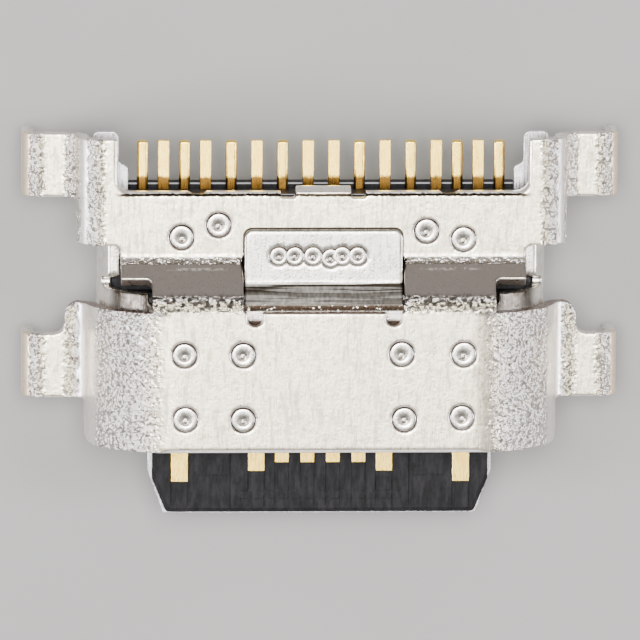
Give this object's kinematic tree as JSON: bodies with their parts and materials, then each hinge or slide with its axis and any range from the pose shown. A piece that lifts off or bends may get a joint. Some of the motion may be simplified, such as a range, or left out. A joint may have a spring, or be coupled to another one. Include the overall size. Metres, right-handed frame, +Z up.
{
  "type": "usb-c socket",
  "caption": "Mid-mount reversible socket: a stamped four-eared steel cover welded to a drawn oval shell around a black contact tongue with gilt solder tails.",
  "frame": {"origin": "middle of the plug cavity's back wall, at the tongue's mid-plane", "axes": "+Z up, away from the board; the mouth faces -Y; X runs across the mouth"},
  "size_m": [0.0116, 0.0076, 0.0032],
  "materials": {
    "cover_steel": "nickel-plated stainless sheet, fine vertical grain, orange peel on the bends",
    "shell_steel": "drawn stainless sheet, smoother than the cover",
    "plate_steel": "bright rolled stainless strip",
    "gilt_contact": "thin pale gold over nickel on copper alloy",
    "black_moulding": "black glass-filled moulding, fine flow marks"
  },
  "bodies": {
    "root": {"outer_cover": "cover_steel", "inner_shell": "shell_steel", "mid_plate": "plate_steel", "upper_shield_plate": "plate_steel", "lower_shield_plate": "plate_steel", "tongue_moulding": "black_moulding", "upper_terminal_block": "black_moulding", "lower_terminal_block": "black_moulding", "contact_a1_ground": "gilt_contact", "contact_a4_power": "gilt_contact", "contact_a5_config": "gilt_contact", "contact_a6_data_plus": "gilt_contact", "contact_a7_data_minus": "gilt_contact", "contact_a8_sideband": "gilt_contact", "contact_a9_power": "gilt_contact", "contact_a12_ground": "gilt_contact", "contact_b1_ground": "gilt_contact", "contact_b4_power": "gilt_contact", "contact_b5_config": "gilt_contact", "contact_b6_data_plus": "gilt_contact", "contact_b7_data_minus": "gilt_contact", "contact_b8_sideband": "gilt_contact", "contact_b9_power": "gilt_contact", "contact_b12_ground": "gilt_contact"}
  },
  "joints": []
}
